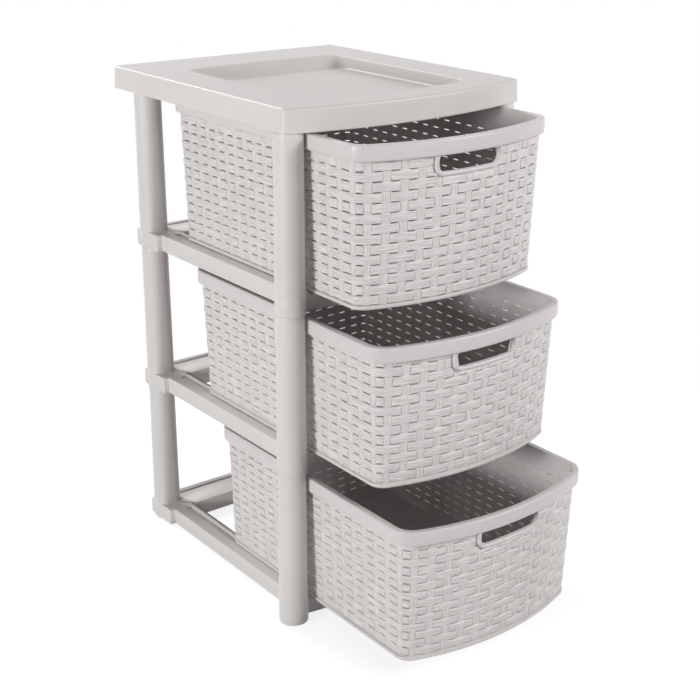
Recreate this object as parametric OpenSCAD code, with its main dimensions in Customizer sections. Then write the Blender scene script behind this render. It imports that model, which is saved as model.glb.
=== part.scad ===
// Three-drawer plastic tower: a knock-down frame of one cover, three ring shelves and
// twelve tubular posts, carrying three hollow drafted drawers that slide forward.
// Frame: origin on the floor under the middle of the whole, with the drawers as stored,
// +X to the right seen from the front, -Y towards the front, +Z up. Millimetres.

/* [Tower] */
// width of the cover across its top edges
tower_w = 330; // [260:1:420]
// length of the cover's straight side edge
side_len = 360; // [300:1:460]
// how far the cover's bowed front stands out of its front corners
front_bow = 24; // [5:1:40]
// height from one shelf's underside to the next
tier_h = 191; // [150:1:260]
// height of the top tier, from the upper shelf's underside to the cover
top_tier_h = 199; // [155:1:270]
// outward draft of the cover's skirt at its lower edge
cover_draft = 1.5; // [0.5:0.1:3]

/* [Cover] */
// height of the cover's skirt
cover_h = 26; // [18:1:40]
// radius of the cover's upright corners at its lower edge
cover_corner_r = 8; // [5:0.5:20]
// wall thickness of the cover's skirt
cover_wall = 3; // [2:0.1:5]
// depth of the tray sunk into the cover's top
tray_depth = 15; // [6:0.5:18]
// width of the rim left of and right of the tray
tray_margin = 54; // [30:1:80]
// rim between the back edge of the cover and the tray
tray_back = 78; // [40:1:110]
// rim between the bowed front edge and the tray
tray_front = 40; // [25:1:60]
// corner radius of the tray
tray_corner_r = 26; // [10:1:45]
// how far the tray's back wall slopes forward from its upper edge to the floor
tray_slope = 18; // [0:1:40]
// thickness of the cover's deck and of the tray's floor
deck_t = 3; // [2:0.1:5]

/* [Shelves] */
// height of the shelf rails and corner collars
shelf_h = 21; // [16:0.5:30]
// inset of the side rail's outer face from the cover's top edge
rail_inset = 24.5; // [18:0.5:32]
// inset of the back collar's outer face from the cover's top edge
collar_inset = 17; // [12:0.5:24]
// length of the back collar, from its front face to the shelf's back edge
collar_len = 50; // [42:1:70]
// inset of the shelf's back edge from the cover's back edge
shelf_back_inset = 8; // [4:0.5:16]
// border between the shelf's back edge and its opening
back_border = 50; // [30:1:80]
// border between the shelf's front face and its opening
front_border = 30; // [18:1:50]
// border between a guide groove and the opening
groove_border = 6.5; // [3:0.5:20]
// corner radius of the opening
hole_corner_r = 6; // [2:0.5:20]
// how far the front rail bows forward of its ends
rail_bow = 14; // [4:0.5:24]
// setback of the front rail's ends behind the front post's centre line
rail_setback = 2; // [-6:0.5:10]
// thickness of the shelf's top plate and of its walls
shelf_wall = 3; // [2:0.1:4]
// depth of the guide groove in each side border
groove_depth = 2.5; // [1.5:0.1:4]
// width of the guide groove
groove_w = 8; // [5:0.5:10]
// clearance between a shut drawer's runner rib and the groove's blind back end
groove_end_clear = 1; // [0.5:0.5:5]

/* [Posts] */
// radius of a post at its top
post_top_r = 16.4; // [12:0.1:20]
// radius of a post at its foot, and of the front collars
post_foot_r = 17.3; // [13:0.1:21]
// wall thickness of the hollow posts
post_wall = 2.4; // [1.6:0.1:3.5]
// thickness of a post's end rings, which its spigots stand on
post_end_t = 3; // [2:0.5:6]
// radius of the spigots at both ends of a post
spigot_r = 11.4; // [8:0.1:13]
// length of the upper spigot
spigot_top_len = 9; // [6:0.5:12]
// length of the lower spigot
spigot_foot_len = 9; // [6:0.5:10]
// radial clearance between a spigot and its socket
spigot_clear = 0.1; // [0.05:0.05:0.4]
// clearance above an upper spigot in the cover's socket
socket_clear = 1; // [0.5:0.5:3]
// inset of the front posts' centres from the cover's top side edge
front_post_x = 15; // [12:0.5:24]
// inset of the front posts' centres from the cover's front corners
front_post_y = 13; // [8:0.5:22]
// inset of the back posts' centres from the cover's top side edge
back_post_x = 31.5; // [24:0.5:40]
// inset of the back posts' centres from the cover's back edge
back_post_y = 25; // [19:0.5:34]
// distance of a back post's front flat from its centre
back_flat = 15.4; // [12.5:0.1:17]
// distance of a front post's inner flat from its centre
front_flat = 12.7; // [12:0.1:16]

/* [Drawers] */
// how far the front of a shut drawer's rim stands out of the cover's bowed front
shut_proud = 50; // [0:1:80]
// gap between a shut drawer's rim and the flats of the back posts
shut_clear = 7.6; // [2:0.2:30]
// radius of the bowed front of the rim
rim_bow_r = 350; // [250:5:600]
// radius of the rim's front corners
rim_corner_r = 28; // [18:1:40]
// radius of the rim's back corners
rim_back_r = 20; // [16:1:30]
// height of the rim band
rim_h = 17.5; // [12:0.5:24]
// thickness of the rim's top and of its outer skirt
rim_t = 2.4; // [1.6:0.1:3]
// overhang of the rim band over the drawer's body
rim_over = 5.5; // [4:0.5:8]
// wall thickness of the drawer's body
drawer_wall = 2.2; // [1.6:0.1:3.5]
// inward draft of the body from its rim to its bottom edge
body_draft = 6; // [2:0.5:8]
// side clearance between a rim and the flats of the front posts
rim_clear = 0.8; // [0.4:0.1:3]
// gap between the cover and the top drawer's rim
top_gap = 2; // [1:0.5:8]
// gap between a shelf and the rim of the drawer below it
tier_gap = 6; // [1:0.5:12]
// gap between a shelf's top and a drawer's bottom plate
bottom_gap = 0.5; // [0.2:0.1:2]
// width of the runner ribs under a drawer
runner_w = 5; // [3:0.5:7]
// inset of the runner ribs from the body's lower side edge
runner_inset = 1; // [0:0.5:8]
// setback of the runner ribs' front ends from the front of the rim
runner_front = 40; // [20:1:80]
// setback of the runner ribs' back ends from the back of the rim
runner_back = 16; // [14:1:40]

/* [Finger slots] */
// width of the finger slot in a drawer's front
slot_w = 84; // [60:1:110]
// height of the finger slot below the rim band
slot_h = 18; // [14:1:28]
// radius of the slot's lower corners
slot_r = 8; // [4:0.5:9]
// width of the raised surround of the slot
surround_w = 3.5; // [2:0.5:6]
// thickness of the raised surround proud of the body
surround_t = 1.2; // [0.6:0.1:2]

/* [Stored pose] */
// distance that the top drawer is pulled out
pull_top = 34; // [0:1:200]
// distance that the middle drawer is pulled out
pull_middle = 71; // [0:1:200]
// distance that the bottom drawer is pulled out
pull_bottom = 120; // [0:1:200]

/* [Feet] */
// radius of the foot pads
foot_r = 12.5; // [10:0.5:15]
// height of the pads under the base
foot_h = 2; // [1:0.5:6]
// length of a pad's plug
plug_len = 6; // [4:0.5:9]

/* [Hidden] */
half_w = tower_w/2;
front_reach = front_bow + shut_proud + max(pull_top, pull_middle, pull_bottom);
back_y = (front_reach + side_len - cover_draft)/2;
corner_y = back_y - side_len;
base_z = foot_h;
lower_z = base_z + tier_h;
upper_z = lower_z + tier_h;
cover_z = upper_z + top_tier_h;
front_x = half_w - front_post_x;
front_y = corner_y + front_post_y;
back_x = half_w - back_post_x;
back_post_cy = back_y - back_post_y;
socket_r = spigot_r + spigot_clear;
rail_x = half_w - rail_inset;
collar_x = half_w - collar_inset;
shelf_back = back_y - shelf_back_inset;
collar_front = shelf_back - collar_len;
hole_back = shelf_back - back_border;
rim_half_w = front_x - front_flat - rim_clear;
low_half_w = rim_half_w - rim_over - body_draft;
runner_x = low_half_w - runner_inset - runner_w/2;
hole_half_w = runner_x - groove_w/2 - groove_border;
shut_back_y = back_post_cy - back_flat - shut_clear;
shut_front_y = corner_y - front_bow - shut_proud;
drawer_len = shut_back_y - shut_front_y;
groove_back_y = shut_back_y - runner_back + groove_end_clear;
top_height = top_tier_h - shelf_h - top_gap - bottom_gap;
low_height = tier_h - shelf_h - tier_gap - bottom_gap;
// facets of small arcs and of the long bows
smooth = 120;
fine = 4*smooth;
// thinnest slice of a hull, and how far a cut runs past the face that it cuts
eps = 0.01;
over = 1;

frame_colour = [0.86, 0.85, 0.84];
drawer_colour = [0.85, 0.83, 0.83];
foot_colour = [0.12, 0.12, 0.12];

// ---------- shared shapes ----------

// radius of the arc that passes through (0, 0) and (half, bow)
function arc_r(half, bow) = (half*half + bow*bow)/(2*bow);

// y of a front corner's centre, for a bow of radius r0 whose foremost point is y0
function corner_cy(w, y0, r0, rc) = y0 + r0 - sqrt(pow(r0 - rc, 2) - pow(w - rc, 2));

// a plan outline with straight sides, a bowed front and four round corners
module bowed_outline(w, y0, y1, r0, rc, rb) {
  cy = corner_cy(w, y0, r0, rc);
  spread = asin((w - rc)/(r0 - rc));
  reach = 2*r0;
  translate([-w, cy])
    square([2*w, y1 - rb - cy]);
  translate([-(w - rb), cy])
    square([2*(w - rb), y1 - cy]);
  for (s = [-1, 1]) {
    translate([s*(w - rb), y1 - rb])
      circle(r = rb, $fn = smooth);
    translate([s*(w - rc), cy])
      circle(r = rc, $fn = smooth);
  }
  intersection() {
    translate([0, y0 + r0])
      circle(r = r0, $fn = fine);
    polygon([[w - rc, cy], [-(w - rc), cy],
             [-reach*sin(spread), y0 + r0 - reach*cos(spread)],
             [reach*sin(spread), y0 + r0 - reach*cos(spread)]]);
  }
}

module bowed_block(w, y0, y1, r0, rc, rb, h) {
  linear_extrude(height = h)
    bowed_outline(w, y0, y1, r0, rc, rb);
}

// the same block, drawn in by "draft" at its lower end
module drafted_block(w, y0, y1, r0, rc, rb, h, draft) {
  hull() {
    translate([0, 0, h - eps])
      bowed_block(w, y0, y1, r0, rc, rb, eps);
    bowed_block(w - draft, y0 + draft, y1 - draft, r0 - draft, rc - draft, rb - draft, eps);
  }
}

// a rectangle in plan with round corners
module round_block(x0, x1, y0, y1, r, h) {
  translate([x0 + r, y0, 0])
    cube([x1 - x0 - 2*r, y1 - y0, h]);
  translate([x0, y0 + r, 0])
    cube([x1 - x0, y1 - y0 - 2*r, h]);
  for (x = [x0 + r, x1 - r])
    for (y = [y0 + r, y1 - r])
      translate([x, y, 0])
        cylinder(r = r, h = h, $fn = smooth);
}

module at_posts() {
  for (s = [-1, 1]) {
    translate([s*front_x, front_y, 0])
      children();
    translate([s*back_x, back_post_cy, 0])
      children();
  }
}

// ---------- cover ----------

cover_low_w = half_w + cover_draft;
cover_bow_r = arc_r(cover_low_w, front_bow);
cover_front = corner_y - front_bow - cover_draft;

module cover_body(inset, h, draft) {
  drafted_block(cover_low_w - inset, cover_front + inset, back_y + cover_draft - inset,
                cover_bow_r - inset, cover_corner_r - inset, cover_corner_r - inset, h, draft);
}

// the skirt is wider at its lower edge, so it is drawn upside down
module upside_down(h) {
  translate([0, 0, h])
    mirror([0, 0, 1])
      children();
}

// the tray's hollow, or the skin around it, less the wedge under its sloping back wall
module tray(grow, depth, h) {
  tray_y = back_y - tray_back + grow;
  difference() {
    bowed_block(half_w - tray_margin + grow, corner_y - front_bow + tray_front - grow, tray_y,
                cover_bow_r - tray_front + grow, tray_corner_r + grow, tray_corner_r + grow, h);
    translate([-half_w, 0, 0])
      rotate([90, 0, 90])
        linear_extrude(height = tower_w)
          polygon([[tray_y - tray_slope*(1 + over/depth), -over], [tray_y, depth],
                   [tray_y + over, depth], [tray_y + over, -over]]);
  }
}

module cover() {
  color(frame_colour)
    translate([0, 0, cover_z])
      difference() {
        union() {
          difference() {
            upside_down(cover_h)
              cover_body(0, cover_h, cover_draft);
            translate([0, 0, -deck_t])
              upside_down(cover_h)
                cover_body(cover_wall, cover_h, cover_draft);
          }
          translate([0, 0, cover_h - tray_depth - deck_t])
            tray(deck_t, tray_depth, tray_depth + deck_t - eps);
          intersection() {
            at_posts()
              cylinder(r = post_top_r, h = cover_h - eps, $fn = smooth);
            upside_down(cover_h)
              cover_body(0, cover_h, cover_draft);
          }
        }
        translate([0, 0, cover_h - tray_depth])
          tray(0, tray_depth, tray_depth + over);
        at_posts()
          translate([0, 0, -over])
            cylinder(r = socket_r, h = over + spigot_top_len + socket_clear, $fn = smooth);
      }
}

// ---------- shelves ----------

rail_y = front_y + rail_setback;
rail_front = rail_y - rail_bow;
rail_arc_r = arc_r(front_x, rail_bow);

module front_arc(inset, h) {
  intersection() {
    translate([0, rail_front + rail_arc_r, 0])
      cylinder(r = rail_arc_r - inset, h = h, $fn = fine);
    translate([-front_x, rail_front, 0])
      cube([2*front_x, rail_bow + front_border, h]);
  }
}

module shelf_solid(inset, h) {
  translate([-rail_x + inset, rail_y, 0])
    cube([2*(rail_x - inset), shelf_back - inset - rail_y, h]);
  translate([-collar_x + inset, collar_front + inset, 0])
    cube([2*(collar_x - inset), collar_len - 2*inset, h]);
  front_arc(inset, h);
}

module shelf_opening(grow, h) {
  front = rail_front + front_border;
  round_block(-hole_half_w - grow, hole_half_w + grow, front - grow, hole_back + grow,
              hole_corner_r + grow, h);
}

// a moulded ring: a top plate with an outer and an inner wall, open underneath
module shelf(z) {
  color(frame_colour)
    translate([0, 0, z])
      difference() {
        union() {
          difference() {
            shelf_solid(0, shelf_h);
            translate([0, 0, -shelf_wall - groove_depth])
              difference() {
                shelf_solid(shelf_wall, shelf_h);
                translate([0, 0, -over])
                  shelf_opening(shelf_wall, shelf_h + 2*over);
              }
          }
          at_posts()
            cylinder(r = post_foot_r, h = shelf_h, $fn = smooth);
        }
        translate([0, 0, -over])
          shelf_opening(0, shelf_h + 2*over);
        for (s = [-1, 1])
          translate([s*runner_x - groove_w/2, rail_front - over, shelf_h - groove_depth])
            cube([groove_w, groove_back_y - rail_front + over, groove_depth + over]);
        at_posts()
          translate([0, 0, -over])
            cylinder(r = socket_r, h = shelf_h + 2*over, $fn = smooth);
      }
}

module shelf_upper() {
  shelf(upper_z);
}

module shelf_lower() {
  shelf(lower_z);
}

module base() {
  shelf(base_z);
}

// ---------- posts ----------

// a tapered post with an upright flat, "flat" from its centre line on its +X side
module post_shell(inset, flat, h) {
  difference() {
    cylinder(r1 = post_foot_r - inset, r2 = post_top_r - inset, h = h, $fn = smooth);
    translate([flat - inset, -post_foot_r, -over])
      cube([post_foot_r, 2*post_foot_r, h + 2*over]);
  }
}

// the hollow post with its end rings and tubular spigots; z is the top of the shelf it
// stands on and h the height up to the next shelf or the cover
module post(flat, z, h) {
  translate([0, 0, z])
    difference() {
      union() {
        post_shell(0, flat, h);
        translate([0, 0, -spigot_foot_len])
          cylinder(r = spigot_r, h = spigot_foot_len + over, $fn = smooth);
        translate([0, 0, h - over])
          cylinder(r = spigot_r, h = spigot_top_len + over, $fn = smooth);
      }
      translate([0, 0, post_end_t])
        post_shell(post_wall, flat, h - 2*post_end_t);
      translate([0, 0, -spigot_foot_len - over])
        cylinder(r = spigot_r - post_wall, h = h + spigot_foot_len + spigot_top_len + 2*over,
                 $fn = smooth);
    }
}

// the flat of a front post faces the drawers, so that their rims pass between the posts
module front_post(side, z, h) {
  color(frame_colour)
    translate([side*front_x, front_y, 0])
      rotate([0, 0, side > 0 ? 180 : 0])
        post(front_flat, z, h);
}

// the flat of a back post faces the front
module back_post(side, z, h) {
  color(frame_colour)
    translate([side*back_x, back_post_cy, 0])
      rotate([0, 0, -90])
        post(back_flat, z, h);
}

post_h = tier_h - shelf_h;
top_post_h = top_tier_h - shelf_h;

module post_top_front_left() {
  front_post(-1, upper_z + shelf_h, top_post_h);
}

module post_top_front_right() {
  front_post(1, upper_z + shelf_h, top_post_h);
}

module post_top_back_left() {
  back_post(-1, upper_z + shelf_h, top_post_h);
}

module post_top_back_right() {
  back_post(1, upper_z + shelf_h, top_post_h);
}

module post_middle_front_left() {
  front_post(-1, lower_z + shelf_h, post_h);
}

module post_middle_front_right() {
  front_post(1, lower_z + shelf_h, post_h);
}

module post_middle_back_left() {
  back_post(-1, lower_z + shelf_h, post_h);
}

module post_middle_back_right() {
  back_post(1, lower_z + shelf_h, post_h);
}

module post_bottom_front_left() {
  front_post(-1, base_z + shelf_h, post_h);
}

module post_bottom_front_right() {
  front_post(1, base_z + shelf_h, post_h);
}

module post_bottom_back_left() {
  back_post(-1, base_z + shelf_h, post_h);
}

module post_bottom_back_right() {
  back_post(1, base_z + shelf_h, post_h);
}

// ---------- drawers ----------

module rim_block(y0, inset, h) {
  bowed_block(rim_half_w - inset, y0 + inset, y0 + drawer_len - inset, rim_bow_r - inset,
              rim_corner_r - inset, rim_back_r - inset, h);
}

module body_block(y0, inset, h) {
  in = rim_over + inset;
  drafted_block(rim_half_w - in, y0 + in, y0 + drawer_len - in, rim_bow_r - in,
                rim_corner_r - in, rim_back_r - in, h, body_draft);
}

// the finger slot's outline as a block along Y, grown by g; its top is open upwards
module slot_block(g, top, len) {
  w = slot_w/2 + g;
  r = slot_r + g;
  translate([-w, 0, r - g])
    cube([2*w, len, top - r + g]);
  translate([-w + r, 0, -g])
    cube([2*(w - r), len, r + eps]);
  for (s = [-1, 1])
    translate([s*(w - r), len, r - g])
      rotate([90, 0, 0])
        cylinder(r = r, h = len, $fn = smooth);
}

// how far back the blocks of the finger slot reach, past the bowed and drafted wall
slot_sag = rim_bow_r - sqrt(pow(rim_bow_r, 2) - pow(slot_w/2, 2));
slot_reach = rim_over + body_draft + drawer_wall + slot_sag + over;

module drawer(z, h, y0) {
  slot_z = h - rim_h - slot_h;
  color(drawer_colour)
    translate([0, 0, z])
      difference() {
        union() {
          body_block(y0, 0, h - eps);
          difference() {
            translate([0, 0, h - rim_h])
              rim_block(y0, 0, rim_h);
            translate([0, 0, h - rim_h - over])
              rim_block(y0, rim_t, rim_h - rim_t + over);
          }
          intersection() {
            translate([0, y0, slot_z])
              slot_block(surround_w, slot_h + over, slot_reach);
            translate([0, -surround_t, 0])
              body_block(y0, 0, h - eps);
          }
          for (s = [-1, 1])
            translate([s*runner_x - runner_w/2, y0 + runner_front, -groove_depth - bottom_gap])
              cube([runner_w, drawer_len - runner_front - runner_back,
                    groove_depth + bottom_gap + over]);
        }
        translate([0, 0, drawer_wall])
          body_block(y0, drawer_wall, h);
        translate([0, y0 - over, slot_z])
          slot_block(0, slot_h, slot_reach + over);
      }
}

low_drawer_z = shelf_h + bottom_gap;

module drawer_top() {
  drawer(upper_z + low_drawer_z, top_height, shut_front_y - pull_top);
}

module drawer_middle() {
  drawer(lower_z + low_drawer_z, low_height, shut_front_y - pull_middle);
}

module drawer_bottom() {
  drawer(base_z + low_drawer_z, low_height, shut_front_y - pull_bottom);
}

// ---------- feet ----------

module foot(x, y) {
  color(foot_colour)
    translate([x, y, 0]) {
      cylinder(r = foot_r, h = foot_h, $fn = smooth);
      cylinder(r = spigot_r, h = foot_h + plug_len, $fn = smooth);
    }
}

module foot_front_left() {
  foot(-front_x, front_y);
}

module foot_front_right() {
  foot(front_x, front_y);
}

module foot_back_left() {
  foot(-back_x, back_post_cy);
}

module foot_back_right() {
  foot(back_x, back_post_cy);
}

cover();
shelf_upper();
shelf_lower();
base();
post_top_front_left();
post_top_front_right();
post_top_back_left();
post_top_back_right();
post_middle_front_left();
post_middle_front_right();
post_middle_back_left();
post_middle_back_right();
post_bottom_front_left();
post_bottom_front_right();
post_bottom_back_left();
post_bottom_back_right();
drawer_top();
drawer_middle();
drawer_bottom();
foot_front_left();
foot_front_right();
foot_back_left();
foot_back_right();
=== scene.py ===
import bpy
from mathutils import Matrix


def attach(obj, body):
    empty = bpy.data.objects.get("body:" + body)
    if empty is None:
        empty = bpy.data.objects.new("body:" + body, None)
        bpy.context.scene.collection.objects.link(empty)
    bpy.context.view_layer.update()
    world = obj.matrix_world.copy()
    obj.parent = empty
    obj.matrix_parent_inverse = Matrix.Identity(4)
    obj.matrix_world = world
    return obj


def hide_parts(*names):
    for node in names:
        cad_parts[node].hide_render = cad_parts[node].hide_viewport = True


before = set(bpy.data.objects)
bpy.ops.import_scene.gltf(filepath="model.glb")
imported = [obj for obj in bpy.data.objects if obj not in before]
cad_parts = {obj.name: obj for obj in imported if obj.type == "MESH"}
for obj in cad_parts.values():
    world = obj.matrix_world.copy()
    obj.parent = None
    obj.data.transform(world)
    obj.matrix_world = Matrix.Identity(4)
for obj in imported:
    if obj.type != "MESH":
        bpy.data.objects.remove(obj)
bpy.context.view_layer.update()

import math
from collections import namedtuple

import bpy
import numpy as np
from bpy.props import FloatProperty, FloatVectorProperty, PointerProperty
from mathutils import Matrix, Vector

bl_info = {
    "name": "Drawer tower looks",
    "version": (1, 0, 0),
    "blender": (4, 5, 0),
    "location": "3D View > Sidebar > Drawer tower",
    "description": "Dresses the packed drawer tower: cover, shelves, posts, woven drawers, feet and stage",
    "category": "Object",
}

MM = 0.001


def linear(hex_colour):
    """an sRGB hex colour as linear RGBA"""
    parts = [int(hex_colour[i:i + 2], 16) / 255 for i in (0, 2, 4)]
    return tuple(c / 12.92 if c <= 0.04045 else ((c + 0.055) / 1.055) ** 2.4 for c in parts) + (1.0,)


# ---------- settings ----------


def length(name, description, mm):
    return FloatProperty(name=name, description=description, default=mm * MM, unit="LENGTH",
                         subtype="DISTANCE")


def finish(name, description, hex_colour):
    return FloatVectorProperty(name=name, description=description, default=linear(hex_colour),
                               subtype="COLOR", size=4, min=0, max=1)


def power(name, description, watts):
    return FloatProperty(name=name, description=description, default=watts, min=0, unit="POWER")


class CoverSettings(bpy.types.PropertyGroup):
    edge_round: length("Edge rounding", "Rounding of the cover's upper outer edge", 2.6)
    tray_lip: length("Tray lip", "Rounding where the deck turns down into the tray", 1.6)
    tray_foot: length("Tray foot", "Hollow rounding between the tray's wall and floor", 2.4)


class WeaveSettings(bpy.types.PropertyGroup):
    pitch: length("Strand pitch", "Distance between two upright strands of one row", 40.5)
    strand: length("Strand width", "Width of the upright strands", 9.6)
    relief: length("Relief", "How far the lying strands stand proud", 0.8)
    slit: length("Slit height", "Height of the through slits between the rows", 1.4)
    lip: length("Bottom lip", "Height of the smooth lip under the weave", 5.0)


class FinishSettings(bpy.types.PropertyGroup):
    frame_colour: finish("Frame colour", "Plastic of the cover, shelves and posts", "D9D5D3")
    drawer_colour: finish("Drawer colour", "Plastic of the drawers", "D6D1D0")
    foot_colour: finish("Foot colour", "Rubber of the foot pads", "2B2A2A")


class StageSettings(bpy.types.PropertyGroup):
    floor_colour: finish("Floor colour", "Colour of the plain floor", "CCCCCC")
    floor_glow: FloatProperty(name="Floor glow", description="How much paler the camera sees the floor",
                              default=0.82, min=0)
    left_power: power("Left lamp", "Power of the large lamp at the left", 52.2)
    front_power: power("Front lamp", "Power of the large lamp at the front right", 58.6)
    back_power: power("Back lamp", "Power of the large lamp high up behind", 50.5)
    sky: FloatProperty(name="Sky", description="Strength of the even light from all round",
                       default=0.10, min=0)


# ---------- the tower's sizes, as in the frame ----------

BACK = 276.25 * MM  # y of the cover's back, over its upper edge
CORNER = BACK - 360 * MM  # y where the cover's bowed front meets its sides
BASE_Z = 2 * MM  # the base stands on 2 mm foot pads
TIER = 191 * MM  # from the underside of one shelf to that of the next
TOP_TIER = 199 * MM  # from the underside of the upper shelf to that of the cover
SHELF_H = 21 * MM
SHELF_Z = {"base": BASE_Z, "shelf_lower": BASE_Z + TIER, "shelf_upper": BASE_Z + 2 * TIER}
COVER_Z = SHELF_Z["shelf_upper"] + TOP_TIER

# the underside of each tier's shelf, and the underside of what its posts carry
TIERS = {"top": (SHELF_Z["shelf_upper"], COVER_Z),
         "middle": (SHELF_Z["shelf_lower"], SHELF_Z["shelf_upper"]),
         "bottom": (SHELF_Z["base"], SHELF_Z["shelf_lower"])}

# x of the right post and y of both
POSTS = {"front": (150 * MM, CORNER + 13 * MM), "back": (133.5 * MM, BACK - 25 * MM)}


# ---------- shared shapes ----------


class Bow:
    """A plan outline with straight sides, a bowed front and four round corners. s runs along it
    from the middle of the front, to the right, measured on the outline drawn in by "at"."""

    def __init__(self, half_w, front, back, bow_r, front_r, back_r, at=0.0):
        self.half_w, self.front, self.back = half_w, front, back
        self.bow_r, self.front_r, self.back_r, self.at = bow_r, front_r, back_r, at
        self.spread = math.asin((half_w - front_r) / (bow_r - front_r))
        self.corner_y = front + bow_r - math.sqrt((bow_r - front_r) ** 2 - (half_w - front_r) ** 2)
        self.bow_end = (bow_r - at) * self.spread
        self.side_start = self.bow_end + (front_r - at) * (math.pi / 2 - self.spread)
        self.side_end = self.side_start + back - back_r - self.corner_y
        self.back_start = self.side_end + (back_r - at) * math.pi / 2
        self.half = self.back_start + half_w - back_r

    def points(self, s, inset):
        """x and y of the places s on the outline drawn in by inset"""
        s, inset = np.broadcast_arrays(np.asarray(s, float), np.asarray(inset, float))
        side, way = np.where(s < 0, -1.0, 1.0), np.abs(s)
        turn = way / (self.bow_r - self.at)
        x = (self.bow_r - inset) * np.sin(turn)
        y = self.front + self.bow_r - (self.bow_r - inset) * np.cos(turn)
        # each later stretch takes over from the one before it
        turn = self.spread + (way - self.bow_end) / (self.front_r - self.at)
        past = way > self.bow_end
        x = np.where(past, self.half_w - self.front_r + (self.front_r - inset) * np.sin(turn), x)
        y = np.where(past, self.corner_y - (self.front_r - inset) * np.cos(turn), y)
        past = way > self.side_start
        x = np.where(past, self.half_w - inset, x)
        y = np.where(past, self.corner_y + way - self.side_start, y)
        turn = (way - self.side_end) / (self.back_r - self.at)
        past = way > self.side_end
        x = np.where(past, self.half_w - self.back_r + (self.back_r - inset) * np.cos(turn), x)
        y = np.where(past, self.back - self.back_r + (self.back_r - inset) * np.sin(turn), y)
        past = way > self.back_start
        x = np.where(past, self.half_w - self.back_r - (way - self.back_start), x)
        y = np.where(past, self.back - inset, y)
        return side * x, y

    def stations(self):
        """places s all the way round, closer on the curves"""
        ends = [0, self.bow_end, self.side_start, self.side_end, self.back_start, self.half]
        cuts = zip(ends, ends[1:], (28, 10, 6, 8, 6))
        half = np.concatenate([np.linspace(a, b, n, endpoint=False) for a, b, n in cuts] + [[self.half]])
        return np.concatenate([half, -half[-2:0:-1]])


SHARP_FROM = math.radians(38)  # steeper edges than this stay sharp in the shading


class Shell:
    """Gathers the points and faces of one moulding."""

    def __init__(self):
        self.points, self.faces, self.uvs, self.slots, self.count = [], [], [], [], 0

    def add(self, points):
        """keeps the points and returns the number of the first one"""
        points = np.asarray(points, float).reshape(-1, 3)
        first = self.count
        self.points.append(points)
        self.count += len(points)
        return first

    def face(self, corners, slot=0, uv=None):
        self.faces.append(corners)
        self.slots.append(slot)
        self.uvs.append(uv if uv is not None else (0.0, 0.0) * len(corners))

    def rings(self, rings, start_cap=False, end_cap=False, closed=False):
        """closed rings of equal length, skinned from the first to the last"""
        rings = np.asarray(rings, float)
        k, n = rings.shape[:2]
        base = self.add(rings)
        for i in range(k if closed else k - 1):
            lo, hi = base + i * n, base + (i + 1) % k * n
            for j in range(n):
                e = (j + 1) % n
                self.face((lo + j, lo + e, hi + e, hi + j))
        if start_cap:
            self.face(tuple(range(base + n - 1, base - 1, -1)))
        if end_cap:
            self.face(tuple(range(base + (k - 1) * n, base + k * n)))

    def build(self, name, materials, body, slot_name, *nodes):
        """makes the piece, which rides on the body and replaces the nodes"""
        mesh = bpy.data.meshes.new(name)
        mesh.from_pydata(np.concatenate(self.points).tolist(), [], self.faces)
        for material in materials:
            mesh.materials.append(material)
        mesh.polygons.foreach_set("material_index", self.slots)
        mesh.polygons.foreach_set("use_smooth", [True] * len(self.faces))
        layer = mesh.uv_layers.new(name="strand")
        layer.data.foreach_set("uv", [value for uv in self.uvs for value in uv])
        mesh.validate()
        mesh.update()
        mesh.set_sharp_from_angle(angle=SHARP_FROM)
        piece = bpy.data.objects.new(name, mesh)
        bpy.context.scene.collection.objects.link(piece)
        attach(piece, body)
        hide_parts(*nodes)


def loop(x, y, z):
    """a ring of points from its x, y and height"""
    return np.stack(np.broadcast_arrays(x, y, z), -1)


def blend(a, b, t):
    """the ring or size that is the share t of the way from a to b"""
    return a * (1 - t) + b * t


# ---------- finishes ----------

POLYPROPYLENE_IOR = 1.49
RUBBER_IOR = 1.52


def put(tree, kind, sockets=None, **settings):
    """adds a node; sockets takes values, or other nodes' outputs to link"""
    node = tree.nodes.new(kind)
    for key, value in settings.items():
        setattr(node, key, value)
    for key, value in (sockets or {}).items():
        if isinstance(value, bpy.types.NodeSocket):
            tree.links.new(value, node.inputs[key])
        else:
            node.inputs[key].default_value = value
    return node


def start_material(name):
    """the material and its empty node tree, or None for the tree if it was made before"""
    material = bpy.data.materials.get(name)
    if material:
        return material, None
    material = bpy.data.materials.new(name)
    material.use_nodes = True
    material.node_tree.nodes.clear()
    return material, material.node_tree


def shade_of(colour, amount):
    """the colour made lighter or darker, kept below full white"""
    return [min(1, c * amount) for c in colour[:3]] + [1]


def flow_marks(tree, place, colour):
    """clouds of 62.5 mm, and the plastic's colour that wanders with them"""
    cloud = put(tree, "ShaderNodeTexNoise", {"Vector": place, "Scale": 1 / (62.5 * MM), "Detail": 3.0})
    tint = put(tree, "ShaderNodeMix", {"Factor": cloud.outputs["Fac"], "A": shade_of(colour, 0.965),
                                       "B": shade_of(colour, 1.035)}, data_type="RGBA")
    return cloud, tint


def plastic_surface(tree, cloud, colour, bump, roughness):
    """ends a polypropylene's tree; its roughness wanders with the flow marks"""
    low, high = roughness
    sheen = put(tree, "ShaderNodeMapRange", {"Value": cloud.outputs["Fac"], "To Min": low, "To Max": high})
    shader = put(tree, "ShaderNodeBsdfPrincipled", {"Base Color": colour, "Roughness": sheen.outputs[0],
                                                    "Normal": bump.outputs["Normal"],
                                                    "IOR": POLYPROPYLENE_IOR})
    put(tree, "ShaderNodeOutputMaterial", {"Surface": shader.outputs[0]})


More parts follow.
